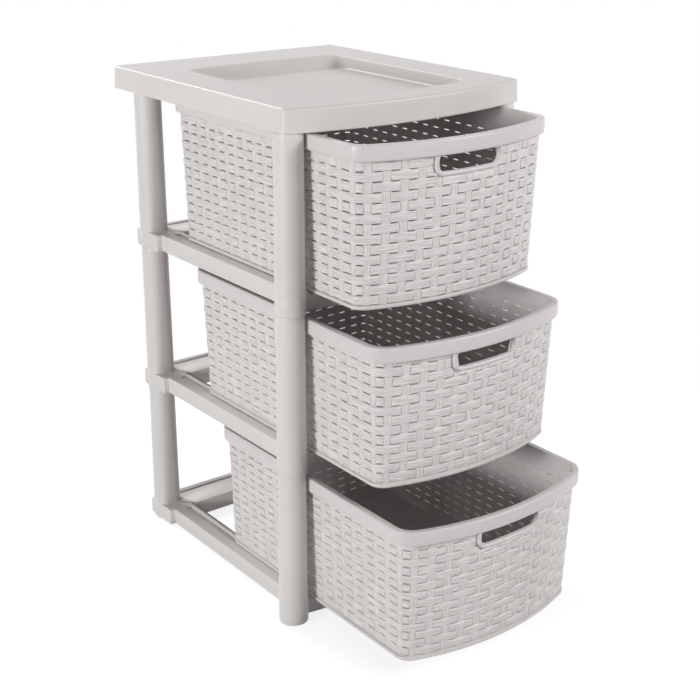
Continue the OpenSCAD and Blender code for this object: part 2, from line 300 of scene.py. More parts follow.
def smooth_polypropylene(name, colour, roughness):
    """the skin that all the smooth mouldings share"""
    material, tree = start_material(name)
    if tree is not None:
        place = put(tree, "ShaderNodeTexCoord").outputs["Object"]
        cloud, tint = flow_marks(tree, place, colour)
        # spark-eroded grain is near 0.1 mm; it is drawn with 1.1 grains to the mm, so that it shows
        grain = put(tree, "ShaderNodeTexNoise", {"Vector": place, "Scale": 1.1 / MM, "Detail": 2.0})
        bump = put(tree, "ShaderNodeBump", {"Height": grain.outputs["Fac"], "Strength": 0.06,
                                            "Distance": 0.4 * MM})
        plastic_surface(tree, cloud, tint.outputs["Result"], bump, roughness)
    return material


def moulded_polypropylene_satin():
    """Polypropylene, injection moulded in a spark-eroded mould: a soft satin sheen that breaks up
    over a very fine matt grain, with faint cloudy flow marks in the colour."""
    colour = bpy.context.scene.tower_finish.frame_colour
    return smooth_polypropylene("moulded_polypropylene_satin", colour, (0.38, 0.46))


def moulded_polypropylene_drawer():
    """The drawers' polypropylene where it is smooth: the same skin, a little greyer and glossier."""
    colour = bpy.context.scene.tower_finish.drawer_colour
    return smooth_polypropylene("moulded_polypropylene_drawer", colour, (0.32, 0.40))


def moulded_polypropylene_wicker():
    """The same plastic moulded as woven rattan: fibre lines run along each strand, lying or
    upright, and break the sheen up into fine streaks. The colour is painted darker in the fibre lines'
    grooves and lighter on their ridges, as painted shade and painted highlight."""
    material, tree = start_material("moulded_polypropylene_wicker")
    if tree is None:
        return material
    place = put(tree, "ShaderNodeTexCoord").outputs["Object"]
    strand = put(tree, "ShaderNodeUVMap", uv_map="strand").outputs["UV"]
    cloud, tint = flow_marks(tree, place, bpy.context.scene.tower_finish.drawer_colour)
    # real rattan fibres are under 1 mm wide; these are 2 mm wide and 25 mm long, so that they show
    along = put(tree, "ShaderNodeMapping", {"Vector": strand, "Scale": (1 / (25 * MM), 1 / (2 * MM), 1.0)})
    fibre = put(tree, "ShaderNodeTexNoise", {"Vector": along.outputs[0], "Scale": 1.0, "Detail": 2.0,
                                             "Roughness": 0.6})
    line = put(tree, "ShaderNodeMapRange", {"Value": fibre.outputs["Fac"], "From Min": 0.36,
                                            "From Max": 0.60})
    bump = put(tree, "ShaderNodeBump", {"Height": line.outputs[0], "Strength": 0.8, "Distance": 0.6 * MM})
    # painted shade and highlight: the colour follows the fibre lines' height, darker in their grooves and
    # lighter on their ridges
    painted_fibre_shade = put(tree, "ShaderNodeMapRange", {"Value": line.outputs[0], "To Min": 0.98, "To Max": 1.16})
    painted_shade_streak = put(tree, "ShaderNodeVectorMath", {0: tint.outputs["Result"], "Scale": painted_fibre_shade.outputs[0]},
                 operation="SCALE")
    plastic_surface(tree, cloud, painted_shade_streak.outputs[0], bump, (0.40, 0.50))
    return material


def moulded_rubber_black():
    """Black rubber, compression moulded: dull, nearly even, with a faint grey bloom."""
    material, tree = start_material("moulded_rubber_black")
    if tree is None:
        return material
    colour = bpy.context.scene.tower_finish.foot_colour
    place = put(tree, "ShaderNodeTexCoord").outputs["Object"]
    # the bloom's specks are about 4 mm
    bloom = put(tree, "ShaderNodeTexNoise", {"Vector": place, "Scale": 0.26 / MM, "Detail": 4.0})
    tint = put(tree, "ShaderNodeMix", {"Factor": bloom.outputs["Fac"], "A": shade_of(colour, 0.7),
                                       "B": shade_of(colour, 1.5)}, data_type="RGBA")
    bump = put(tree, "ShaderNodeBump", {"Height": bloom.outputs["Fac"], "Strength": 0.2,
                                        "Distance": 0.3 * MM})
    shader = put(tree, "ShaderNodeBsdfPrincipled", {"Base Color": tint.outputs["Result"], "Roughness": 0.8,
                                                    "Normal": bump.outputs["Normal"], "IOR": RUBBER_IOR})
    put(tree, "ShaderNodeOutputMaterial", {"Surface": shader.outputs[0]})
    return material


# ---------- cover ----------

COVER_HALF_W = 165 * MM  # over the upper edges
COVER_H = 26 * MM
COVER_DRAFT = 1.5 * MM  # the skirt's lower edge stands this much farther out than its upper one
COVER_BOW = 24 * MM  # how far the front bows out before its corners
COVER_CORNER_R = 8 * MM
TRAY_HALF_W = 111 * MM
TRAY_FRONT = CORNER + 16 * MM
TRAY_BACK = BACK - 78 * MM
TRAY_BOW_LESS = 40 * MM  # the tray's bow has a smaller radius than the cover's
TRAY_FRONT_R, TRAY_BACK_R = 26 * MM, 17 * MM
TRAY_SLOPE_START = CORNER + 60 * MM  # from here back the tray's wall slopes more and more
TRAY_DEPTH = 15 * MM
BACK_SLOPE = 18 * MM  # how far the foot of the tray's back wall lies before its lip
DECK_UNDER, TRAY_UNDER = 22.8 * MM, 8 * MM  # heights of the undersides

# the skirt's section: inset and height in mm, from the deck's underside down and round the lower edge
SKIRT_SECTION = ((3.2, 22.8), (3.0, 0.8), (2.4, 0.0), (0.6, 0.0), (0.0, 0.8), (0.0, 1.6))
# the same for a boss that takes a post's spigot: radius and height, from the outside to the bore's end
BOSS_SECTION = ((16.2, 22.9), (16.2, 0.7), (15.6, 0.2), (12.2, 0.2), (11.5, 0.8), (11.5, 10.0))
BOSS_LIMIT = 163.6 * MM  # a boss ends in the skirt

QUARTER_TURN = [math.radians(a) for a in (0, 15, 30, 45, 60, 75, 90)]


class TOWER_OT_cover(bpy.types.Operator):
    """Build the tray-topped cover as one moulding"""
    bl_idname = "tower.cover"
    bl_label = "Build cover"

    def execute(self, context):
        size = context.scene.tower_cover
        half_w = COVER_HALF_W + COVER_DRAFT
        bow_r = (half_w ** 2 + COVER_BOW ** 2) / (2 * COVER_BOW)
        outer = Bow(half_w, CORNER - COVER_BOW - COVER_DRAFT, BACK + COVER_DRAFT, bow_r,
                    COVER_CORNER_R, COVER_CORNER_R, at=2 * MM)
        tray = Bow(TRAY_HALF_W, TRAY_FRONT, TRAY_BACK, bow_r - TRAY_BOW_LESS, TRAY_FRONT_R, TRAY_BACK_R)
        s_outer, s_tray = outer.stations(), tray.stations()

        def skirt(inset, z):
            return loop(*outer.points(s_outer, inset + COVER_DRAFT * z / COVER_H), COVER_Z + z)

        def pan(inset, drop, z):
            """a ring of the tray; its back lies farther forward the deeper it is dropped"""
            x, y = tray.points(s_tray, inset)
            share = np.clip((y - TRAY_SLOPE_START) / (TRAY_BACK - TRAY_SLOPE_START), 0, 1)
            return loop(x, y - BACK_SLOPE * drop / TRAY_DEPTH * share, COVER_Z + z)

        r, lip, foot = size.edge_round, size.tray_lip, size.tray_foot
        rings = [skirt(inset * MM, z * MM) for inset, z in SKIRT_SECTION]
        rings.append(skirt(0.0, COVER_H - r - 1 * MM))
        rings += [skirt(r * (1 - math.cos(a)), COVER_H - r * (1 - math.sin(a))) for a in QUARTER_TURN]
        rings.append(skirt(r + 0.8 * MM, COVER_H))
        deck_end = pan(-lip - 0.8 * MM, 0, COVER_H)
        rings += [blend(rings[-1], deck_end, t) for t in (0.25, 0.5, 0.75)] + [deck_end]
        for a in QUARTER_TURN:
            drop = lip * (1 - math.cos(a))
            rings.append(pan(-lip * (1 - math.sin(a)), drop, COVER_H - drop))
        rings += [pan(0.0, drop, COVER_H - drop) for drop in (5 * MM, 8 * MM)]
        for a in QUARTER_TURN:
            drop = TRAY_DEPTH - foot * (1 - math.sin(a))
            rings.append(pan(foot * (1 - math.cos(a)), drop, COVER_H - drop))
        rings += [pan(foot + more, TRAY_DEPTH, COVER_H - TRAY_DEPTH) for more in (1 * MM, 10 * MM)]
        shell = Shell()
        shell.rings(rings, end_cap=True)

        under = [pan(10 * MM, TRAY_DEPTH, TRAY_UNDER), pan(-1 * MM, TRAY_DEPTH, TRAY_UNDER),
                 pan(-2.6 * MM, TRAY_DEPTH, TRAY_UNDER + 0.8 * MM), pan(-3 * MM, 0, DECK_UNDER)]
        under += [blend(under[-1], rings[0], t) for t in (0.5, 1.0)]
        shell.rings(under, start_cap=True)

        turn = np.linspace(0, 2 * math.pi, 64, endpoint=False)
        for post_x, post_y in POSTS.values():
            for side in (-1, 1):
                boss = []
                for radius, z in BOSS_SECTION:
                    x = np.clip(side * post_x + radius * MM * np.cos(turn), -BOSS_LIMIT, BOSS_LIMIT)
                    boss.append(loop(x, post_y + radius * MM * np.sin(turn), COVER_Z + z * MM))
                shell.rings(boss, end_cap=True)
        shell.build("tower_cover", [moulded_polypropylene_satin()], "frame", "frame_plastic", "cover")
        return {"FINISHED"}


# ---------- shelves and feet ----------


def soften(node, material, width):
    """keeps a node of the frame and breaks its edges with a small mould radius"""
    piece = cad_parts[node]
    piece.data.materials.clear()
    piece.data.materials.append(material)
    weld = piece.modifiers.new("weld", "WELD")
    weld.merge_threshold = 0.02 * MM
    bevel = piece.modifiers.new("mould_radius", "BEVEL")
    bevel.width, bevel.segments = width, 3
    bevel.limit_method, bevel.angle_limit = "ANGLE", math.radians(35)
    bevel.use_clamp_overlap = False
    bevel.harden_normals = True
    piece.data.polygons.foreach_set("use_smooth", [True] * len(piece.data.polygons))


class TOWER_OT_shelves(bpy.types.Operator):
    """Finish the two ring shelves and the base"""
    bl_idname = "tower.shelves"
    bl_label = "Finish shelves"

    def execute(self, context):
        for node in SHELF_Z:
            soften(node, moulded_polypropylene_satin(), 0.8 * MM)
        return {"FINISHED"}


class TOWER_OT_feet(bpy.types.Operator):
    """Finish the four rubber foot pads"""
    bl_idname = "tower.feet"
    bl_label = "Finish feet"

    def execute(self, context):
        for end in ("front", "back"):
            for side in ("left", "right"):
                soften(f"foot_{end}_{side}", moulded_rubber_black(), 0.5 * MM)
        return {"FINISHED"}


# ---------- posts ----------

POST_LOW_R, POST_HIGH_R = 17.3 * MM, 16.4 * MM  # a post tapers upwards
SPIGOT_R, SPIGOT_TIP_R, SPIGOT_BORE_R, SPIGOT_L = 11.4 * MM, 11.0 * MM, 9.0 * MM, 9 * MM
FRONT_FLAT = 12.7 * MM  # from a front post's axis to the flat on its inner side
BACK_FLAT, BACK_FLAT_LEAN = 15.3 * MM, 0.021  # a back post's flat faces forward and runs out upwards
FLAT_EDGE = 1.5 * MM  # the flat's two edges are broken by this much


class TOWER_OT_posts(bpy.types.Operator):
    """Build the twelve tubular posts with their flats and spigots"""
    bl_idname = "tower.posts"
    bl_label = "Build posts"

    def execute(self, context):
        for tier, (shelf_z, above_z) in TIERS.items():
            for end in POSTS:
                for side in ("left", "right"):
                    self.post(tier, end, side, shelf_z + SHELF_H, above_z)
        return {"FINISHED"}

    def post(self, tier, end, side, foot, head):
        """one post, from its foot on a shelf's collar to its head under the next one"""
        mark = -1 if side == "left" else 1
        x, y = POSTS[end]
        facing = {"front": math.pi if mark > 0 else 0.0, "back": -math.pi / 2}[end]
        turn = np.linspace(-math.pi, math.pi, 96, endpoint=False)
        ahead = np.cos(turn)

        def ring(radius, z):
            return loop(x * mark + radius * np.cos(turn + facing), y + radius * np.sin(turn + facing), z)

        def flattened(radius, z):
            flat = FRONT_FLAT if end == "front" else BACK_FLAT + BACK_FLAT_LEAN * (z - foot)
            to_flat = np.where(ahead > 0, np.exp(-flat / np.maximum(ahead, 1e-3) / FLAT_EDGE), 0)
            soft = -FLAT_EDGE * np.log(np.exp(-radius / FLAT_EDGE) + to_flat)
            return ring(np.minimum(soft, radius), z)

        tall = head - foot
        low, high = POST_LOW_R, POST_HIGH_R
        bottom, top = foot - SPIGOT_L, head + SPIGOT_L
        rings = [ring(SPIGOT_BORE_R, bottom), ring(SPIGOT_TIP_R, bottom), ring(SPIGOT_R, bottom + 0.4 * MM),
                 ring(SPIGOT_R, foot - 1.4 * MM),
                 flattened(low - 0.7 * MM, foot - 1.4 * MM), flattened(low + 0.03 * MM, foot - 1.3 * MM),
                 flattened(low + 0.02 * MM, foot), flattened(low, foot + 1 * MM),
                 flattened(blend(low, high, 0.02), foot + 4 * MM)]
        rings += [flattened(blend(low, high, t), foot + tall * t)
                  for t in (0.15, 0.3, 0.4, 0.5, 0.6, 0.8)]
        rings += [flattened(high, head - 4 * MM), flattened(high, head - 1.3 * MM),
                  flattened(high - 0.3 * MM, head - 0.6 * MM), flattened(high - 1.4 * MM, head - 0.02 * MM),
                  ring(SPIGOT_R, head), ring(SPIGOT_R, top - 0.4 * MM), ring(SPIGOT_TIP_R, top),
                  ring(SPIGOT_BORE_R, top)]
        shell = Shell()
        # the bore runs back down to where the rings start
        shell.rings(rings + rings[:1])
        node = f"post_{tier}_{end}_{side}"
        shell.build("tower_" + node, [moulded_polypropylene_satin()], "frame", "frame_plastic", node)


# ---------- drawers ----------

RIM_HALF_W = 136.5 * MM
RIM_LENGTH = 386 * MM
RIM_H = 17.5 * MM
RIM_BOW_R, RIM_FRONT_R, RIM_BACK_R = 350 * MM, 28 * MM, 20 * MM
OVERHANG = 5.5 * MM  # how far the rim stands out over the wall's upper end
BODY_DRAFT = 6 * MM  # how far the wall leans in down to the drawer's bottom
WALL = 2.2 * MM
SHUT_FRONT = BACK - 434 * MM  # y of the front of a shut drawer
DRAWER_LIFT = SHELF_H + 0.5 * MM  # from a shelf's underside to its drawer's

# pull is how far the drawer stands open, air the room over it, row the height of a woven row, cut_row
# that of the cut row under the band, and shift says with which strands the rows start
DRAWERS = {
    "top": {"pull": 34 * MM, "air": 2 * MM, "row": 10.93 * MM, "cut_row": 0.0, "shift": 0},
    "middle": {"pull": 71 * MM, "air": 6 * MM, "row": 11.18 * MM, "cut_row": 5.6 * MM, "shift": 1},
    "bottom": {"pull": 120 * MM, "air": 6 * MM, "row": 10.2 * MM, "cut_row": 7.1 * MM, "shift": 0},
}

# the finger slot: half its width, its height under the rim, and its lower and upper corners
SLOT_HALF_W, SLOT_H, SLOT_R, SLOT_UPPER_R = 42 * MM, 18 * MM, 8 * MM, 5 * MM
SURROUND_MIDDLE = 2.5 * MM  # from the slot's edge to the middle line of its raised surround
SURROUND_CLEAR = 6 * MM  # no slit lies nearer to the slot
SURROUND_GROOVE, GROOVE_DEPTH = 6.6 * MM, 1.2 * MM  # nearer to the slot than this the weave is sunk
# the surround's section: distance from the slot's edge and from the plain wall, in mm
SURROUND_SECTION = ((0.0, -2.6), (0.0, 1.0), (0.3, 1.8), (1.0, 2.5), (2.0, 2.7), (3.2, 2.7), (3.9, 2.4),
                    (4.4, 1.6), (4.6, 0.6), (4.8, -1.8), (4.0, -2.5), (2.0, -2.8))

# the rim band's section: inset and distance below the drawer's top, in mm
BAND_SECTION = ((3.0, 2.4), (3.0, 17.0), (2.7, 17.4), (2.2, 17.5), (1.4, 17.2), (0.7, 16.5), (0.2, 15.4),
                (0.0, 14.0), (0.0, 2.0), (0.15, 1.2), (0.6, 0.5), (1.3, 0.1), (2.0, 0.0), (6.4, 0.0),
                (7.1, 0.15), (7.6, 0.6), (7.75, 1.2))
BAND_HOLLOW = 2.4 * MM  # the gap between band and wall ends this far below the top
# the hollow rounding between the wall's inside and the floor: way in and height, in mm
FLOOR_SECTION = ((0.0, 8.0), (0.3, 5.6), (1.2, 3.7), (2.8, 2.6), (4.6, 2.2), (5.6, 2.2))
# a runner rib's place, its two ends behind the drawer's front, and how far its front end rises
RIB_X, RIB_FROM, RIB_TO, RIB_RISE = 121.5 * MM, 40 * MM, 370 * MM, 2.2 * MM
# its section: radius and height in mm, and whether it takes part in that rise
RIB_SECTION = ((2.5, 0.3, 0), (2.5, -2.4, 1), (1.9, -3.0, 1))

FRONT_STRANDS = 7  # upright strands from the middle of the front to its end
CORNER_STRAND, SIDE_STRAND = 18.2 * MM, 39.4 * MM  # from the last of them to the next two
CORNER_SHARE, SIDE_SHARE = 0.88, 0.9  # how wide these are beside those of the front
SIDE_PITCH = 0.953  # and how close those of the sides and the back stand
STRAND_GROOVE = 0.6 * MM  # half the width of the groove beside an upright strand
UPRIGHT = {"mid": 0.5, "edge": 0.35}  # share of the relief that an upright strand has
# the same for a lying one, beside an upright one and where it passes over one
LYING_BESIDE = {"end": 0.55, "slit": 0.8, "between": 1.0}
LYING_OVER = {"mid": 1.45, "edge": 1.45, "groove": 1.35, "end": 1.3, "slit": 1.2, "between": 1.0}
# how the wall stands under the band, where two rows meet and beside an upright strand
UNDER_BAND, ROW_GROOVE, UPRIGHT_GROOVE = -0.3 * MM, -1.0 * MM, -0.35 * MM
LEAST_ROW = 1.5 * MM  # a cut row lower than this is left out
ROW_SLACK = 0.02  # share of the last row that may be missing

SMOOTH, WOVEN = 0, 1  # material slots of a drawer

Strand = namedtuple("Strand", "s width parity")
Column = namedtuple("Column", "s kind strand")
Level = namedtuple("Level", "z row swell")


def upright_strands(bow, weave):
    """the upright strands of the right half, front to back; the parity says in which rows one shows"""
    half = weave.pitch / 2
    strands = [Strand(k * half, weave.strand, k % 2) for k in range(FRONT_STRANDS)]
    last = strands[-1]
    # a narrower strand stands on the corner in the same rows as the last one of the front
    strands.append(Strand(last.s + CORNER_STRAND, weave.strand * CORNER_SHARE, last.parity))
    start = last.s + SIDE_STRAND
    count = round((bow.half - start) / (half * SIDE_PITCH))
    step = (bow.half - start) / count
    strands += [Strand(start + k * step, weave.strand * SIDE_SHARE, k % 2) for k in range(count + 1)]
    return strands


def whole_cells(inside):
    """for each cell of a grid that runs all the way round, whether its four corners are inside"""
    ahead = np.roll(inside, -1, axis=1)
    return inside[:-1] & inside[1:] & ahead[:-1] & ahead[1:]


class Drawer:
    """One drawer. Its wall is a grid: a column of points at each place s along the outline, and a
    level of them at each height z over the drawer's underside."""

    def __init__(self, weave, shelf_z, above_z, pull, air, row, cut_row, shift):
        self.weave, self.row, self.shift, self.gap = weave, row, shift, weave.slit / 2
        self.underside = shelf_z + DRAWER_LIFT
        self.height = above_z - air - self.underside
        self.front = SHUT_FRONT - pull
        self.bow = Bow(RIM_HALF_W, self.front, self.front + RIM_LENGTH, RIM_BOW_R, RIM_FRONT_R, RIM_BACK_R,
                       at=OVERHANG)
        self.slot_high = self.height - RIM_H
        self.slot_low = self.slot_high - SLOT_H
        self.strands = upright_strands(self.bow, weave)
        self.columns = self.plan_columns()
        self.back_column = len(self.columns) // 2
        self.s = np.array([column.s for column in self.columns])
        self.plan_rows(cut_row)
        self.shell = Shell()

    def plan_columns(self):
        """Columns all the way round. For each strand they stand on an upright's mid and edges, in the
        groove beside it, and on the lying one's ends, its slits' ends and the middle between them."""
        half = [Column(self.strands[0].s, "mid", 0)]
        for i, (strand, following) in enumerate(zip(self.strands, self.strands[1:])):
            a, b = strand.s + strand.width / 2, following.s - following.width / 2
            half += [Column(a - STRAND_GROOVE, "edge", i), Column(a - STRAND_GROOVE / 2, "groove", i),
                     Column(a, "end", i), Column(a + STRAND_GROOVE, "slit", i),
                     Column((a + b) / 2, "between", i), Column(b - STRAND_GROOVE, "slit", i),
                     Column(b, "end", i + 1), Column(b + STRAND_GROOVE / 2, "groove", i + 1),
                     Column(b + STRAND_GROOVE, "edge", i + 1), Column(following.s, "mid", i + 1)]
        return half + [column._replace(s=-column.s) for column in half[-2:0:-1]]

    def plan_rows(self, cut_row):
        """Levels of the rows, which are counted down from the band, after the cut row if there is
        one. swell is 0 where two rows meet and 1 on the full strand."""
        gap, row, lip, band = self.gap, self.row, self.weave.lip, self.slot_high
        self.rows = int((band - lip - cut_row) / row + ROW_SLACK)
        rows_top = band - cut_row
        self.rows_bottom = rows_top - self.rows * row
        rest = self.rows_bottom - lip
        levels = []
        if rest > LEAST_ROW:
            levels += [Level(lip + 0.2 * MM, -1, 0.3), Level(lip + rest * 0.5, -1, 0.9),
                       Level(self.rows_bottom - gap, -1, 0.35)]
        section = ((0.0, 0.0), (gap, 0.4), (gap + 0.45 * MM, 0.95), (row / 2, 1.0),
                   (row - gap - 1.1 * MM, 1.0), (row - gap - 0.5 * MM, 0.75), (row - gap, 0.1))
        for r in range(self.rows):
            levels += [Level(self.rows_bottom + r * row + rise, r, swell) for rise, swell in section]
        self.last_row = self.rows - 1
        if cut_row > LEAST_ROW:
            self.last_row = self.rows
            levels += [Level(rows_top, self.rows, 0.0), Level(rows_top + gap, self.rows, 0.4),
                       Level(rows_top + gap + 0.45 * MM, self.rows, 0.95),
                       Level(band - 0.8 * MM, self.rows, 1.0)]
        levels += [Level(z, self.rows + 1, 0.0) for z in (band, band + 1 * MM, self.height - BAND_HOLLOW)]
        self.levels = levels

    def shows(self, row, strand):
        """whether the upright strand shows in that row, counted from the bottom"""
        return (self.rows - 1 - row + self.strands[strand].parity + self.shift) % 2 == 0

    def relief(self, level, column):
        """how far a point of the weave stands out of the plain wall"""
        if level.row > self.last_row:
            return UNDER_BAND
        if level.swell == 0.0:
            return 0.0 if column.kind in UPRIGHT else ROW_GROOVE
        lying = self.weave.relief * level.swell
        if not self.shows(level.row, column.strand):
            return lying * LYING_OVER[column.kind]
        if column.kind in UPRIGHT:
            return self.weave.relief * UPRIGHT[column.kind] * (0.6 + 0.4 * level.swell)
        if column.kind == "groove":
            return UPRIGHT_GROOVE
        return lying * LYING_BESIDE[column.kind]

    def ring(self, inset, z, s=None):
        """a ring of the outline drawn in by inset"""
        return loop(*self.bow.points(self.s if s is None else s, inset), self.underside + z)

    def wall(self, out, z, s=None):
        """points of the drafted wall; out is how far they stand out of its plain face"""
        return self.ring(OVERHANG + BODY_DRAFT * (1 - z / self.height) - out, z, s)

    def reach(self, s, z):
        """distance from the finger slot's edge, and the way out of the slot as two parts and a sign"""
        qx = np.abs(s) - (SLOT_HALF_W - SLOT_R)
        below, above = self.slot_low + SLOT_R - z, z - self.slot_high + SLOT_R
        qy = np.maximum(below, above)
        dist = np.hypot(np.maximum(qx, 0), np.maximum(qy, 0)) + np.minimum(np.maximum(qx, qy), 0) - SLOT_R
        return dist, qx, qy, np.where(below > above, -1.0, 1.0)

    def push(self, s, z):
        """moves points inside the surround's middle line out to it, and says which they are"""
        dist, qx, qy, up = self.reach(s, z)
        gx, gy = np.maximum(qx, 0), np.maximum(qy, 0)
        flat = (gx == 0) & (gy == 0)
        gx = np.where(flat & (qx >= qy), 1.0, gx)
        gy = np.where(flat & (qx < qy), 1.0, gy)
        size = np.maximum(np.hypot(gx, gy), 1e-9)
        inside = dist < SURROUND_MIDDLE
        step = np.where(inside, SURROUND_MIDDLE - dist, 0)
        return s + np.sign(s + 1e-12) * step * gx / size, z + up * step * gy / size, inside

    def outside(self):
        """the woven face of the wall; returns its slits, as a level and three columns each"""
        s, z = np.meshgrid(self.s, [level.z for level in self.levels])
        dist = self.reach(s, z)[0]
        out = np.array([[self.relief(level, column) for column in self.columns] for level in self.levels])
        out = np.where(dist < SURROUND_GROOVE, -GROOVE_DEPTH, out)
        s, z, inside = self.push(s, z)
        out = np.where(inside, 0.0, out)
        self.shell.add(self.wall(out, z, s))

        n = len(self.columns)
        near = dist < SURROUND_CLEAR
        slits, cut = [], set()
        for i, (_, row, swell) in enumerate(self.levels):
            if swell != 0.0 or not 0 < row <= self.last_row:
                continue
            for j in range(n):
                span = [j, (j + 1) % n, (j + 2) % n]
                if [self.columns[k].kind for k in span] != ["slit", "between", "slit"]:
                    continue
                if near[i - 1:i + 2][:, span].any():
                    continue
                slits.append((i, span))
                cut |= {(a, b) for a in (i - 1, i) for b in span[:2]}

        in_slot = whole_cells(inside)
        for i, (low, high) in enumerate(zip(self.levels, self.levels[1:])):
            for j, column in enumerate(self.columns):
                if in_slot[i, j] or (i, j) in cut:
                    continue
                e = (j + 1) % n
                following = self.columns[e]
                s0, s1 = column.s, following.s
                if j == self.back_column:
                    s1 += 2 * self.bow.half
                on_strand = column.strand == following.strand and "mid" in (column.kind, following.kind)
                if on_strand and 0 <= low.row <= self.last_row and self.shows(low.row, column.strand):
                    uv = (low.z, s0, low.z, s1, high.z, s1, high.z, s0)
                else:
                    uv = (s0, low.z, s1, low.z, s1, high.z, s0, high.z)
                slot = WOVEN if low.row <= self.last_row else SMOOTH
                self.shell.face((i * n + j, i * n + e, i * n + n + e, i * n + n + j), slot, uv)
        return slits

    def inside(self, slits):
        """the plain inside of the wall and the walls of the slits; returns its columns' places"""
        n_out = len(self.columns)
        kept = [j for j, column in enumerate(self.columns)
                if column.kind in ("slit", "between") or j in (0, self.back_column)]
        heights = [FLOOR_SECTION[0][1] * MM]
        for r in range(1, self.last_row + 1):
            meeting = self.rows_bottom + r * self.row
            heights += [meeting - self.gap, meeting + self.gap]
        heights += [self.slot_high + 1 * MM, self.slot_high + 4 * MM,
                    self.height - BAND_SECTION[-1][1] * MM]
        s, z, within = self.push(*np.meshgrid(self.s[kept], heights))
        base = self.shell.add(self.wall(-WALL, z, s))
        n = len(kept)
        place = {j: k for k, j in enumerate(kept)}

        cut = set()
        for i, span in slits:
            low = 1 + 2 * (self.levels[i].row - 1)
            cut |= {(low, place[j]) for j in span[:2]}
            # points of the slit's outer edge, below, at and above its level, and of its inner edge
            under, at, over = ([(i + step) * n_out + j for j in span] for step in (-1, 0, 1))
            low_in, high_in = ([base + (low + step) * n + place[j] for j in span] for step in (0, 1))
            for k in (0, 1):
                self.shell.face((under[k], under[k + 1], low_in[k + 1], low_in[k]))
                self.shell.face((over[k + 1], over[k], high_in[k], high_in[k + 1]))
            self.shell.face((over[0], at[0], under[0], low_in[0], high_in[0]))
            self.shell.face((under[2], at[2], over[2], high_in[2], low_in[2]))

        in_slot = whole_cells(within)
        for i in range(len(heights) - 1):
            for k in range(n):
                if in_slot[i, k] or (i, k) in cut:
                    continue
                e = (k + 1) % n
                a = base + i * n
                self.shell.face((a + e, a + k, a + n + k, a + n + e))
        return self.s[kept]

    def band_and_bottom(self, s_inside):
        """the rim band, the lip round the bottom and the floor"""
        band = [self.wall(UNDER_BAND, self.height - BAND_HOLLOW)]
        band += [self.ring(inset * MM, self.height - down * MM) for inset, down in BAND_SECTION]
        self.shell.rings(band)
        lip, low = self.weave.lip, self.levels[0].z
        # way out and height, from the middle of the underside up to the weave
        foot = ((-8 * MM, 0.0), (-3 * MM, 0.0), (0.7 * MM, 0.0), (1.4 * MM, 0.4 * MM), (1.8 * MM, 1.2 * MM),
                (1.8 * MM, lip - 1.3 * MM), (1.5 * MM, lip - 0.8 * MM), (0.8 * MM, lip - 0.6 * MM),
                (-0.5 * MM, lip - 0.5 * MM), (-0.5 * MM, low - 0.2 * MM), (0.0, low))
        self.shell.rings([self.wall(out, z) for out, z in foot], start_cap=True)
        self.shell.rings([self.wall(-WALL - way * MM, z * MM, s_inside) for way, z in FLOOR_SECTION],
                         end_cap=True)

    def runner_ribs(self):
        """the two ribs under the drawer that run in the shelf's grooves"""
        turn = np.linspace(0, 2 * math.pi, 24, endpoint=False)
        at_back = np.sin(turn) > 0
        end_r = RIB_SECTION[0][0] * MM
        y = np.where(at_back, self.front + RIB_TO - end_r, self.front + RIB_FROM + end_r)
        # the front end of a rib rises like a sled's
        rise = np.where(at_back, 0.0, RIB_RISE)
        for side in (-1, 1):
            rib = [loop(side * RIB_X + r * MM * np.cos(turn), y + r * MM * np.sin(turn),
                        self.underside + z * MM + share * rise) for r, z, share in RIB_SECTION]
            self.shell.rings(rib, end_cap=True)

    def slot_surround(self):
        """the raised surround of the finger slot, a ring of sections round the slot's edge"""
        path = []
        low = (self.slot_low + SLOT_R, SLOT_R)
        high = (self.slot_high - SLOT_UPPER_R, SLOT_UPPER_R)
        for side, (z, r), start in ((1, low, -90), (1, high, 0), (-1, high, 90), (-1, low, 180)):
            path += [(side * (SLOT_HALF_W - r), z, r, math.radians(a))
                     for a in np.linspace(start, start + 90, 13)]
        dense = []
        for here, there in zip(path, path[1:] + path[:1]):
            dense.append(here)
            # the long straight runs follow the bow with points of their own
            if abs(here[0] - there[0]) > 10 * MM:
                for t in np.linspace(0, 1, 13)[1:-1]:
                    dense.append((*(blend(a, b, t) for a, b in zip(here[:3], there[:3])), here[3]))
        s, z, r, angle = np.array(dense).T
        loops = [self.wall(out * MM, z + (r + way * MM) * np.sin(angle), s + (r + way * MM) * np.cos(angle))
                 for way, out in SURROUND_SECTION]
        self.shell.rings(loops[::-1], closed=True)


class TOWER_OT_drawers(bpy.types.Operator):
    """Build the three woven-look drawers"""
    bl_idname = "tower.drawers"
    bl_label = "Build drawers"

    def execute(self, context):
        for name, (shelf_z, above_z) in TIERS.items():
            drawer = Drawer(context.scene.tower_weave, shelf_z, above_z, **DRAWERS[name])
            slits = drawer.outside()
            s_inside = drawer.inside(slits)
            drawer.band_and_bottom(s_inside)
            drawer.runner_ribs()
            drawer.slot_surround()
            drawer.shell.build(f"tower_drawer_{name}",
                               [moulded_polypropylene_drawer(), moulded_polypropylene_wicker()],
                               f"{name}_drawer", "drawer_plastic", f"drawer_{name}")
        return {"FINISHED"}


# ---------- stage ----------

FLOOR_REACH = 6.0  # half the floor's width
FLOOR_Z = -0.2 * MM  # a hair under the foot pads, so that the two don't flicker
WHITE_FROM, WHITE_TO = 0.45, 0.95  # the floor turns plain white between these distances

LAMPS_LOOK_AT = Vector((0.0, 0.0, 0.3))
LAMP_DISTANCE = 3.0
# each lamp's direction and size
LAMPS = {"left": ((-0.57, -0.11, 0.09), 0.5), "back": ((-0.05, 0.42, 0.38), 1.2),
         "front": ((0.355, -0.465, 0.29), 1.2)}

CAMERA_PLACE = (-0.91634, -1.16378, 0.84683)
CAMERA_TURN = (-37.813, 20.72, 0.321)  # degrees round, up and of roll
CAMERA_LENS, CAMERA_SENSOR, CAMERA_REACH = 67.043, 36.0, 50.0


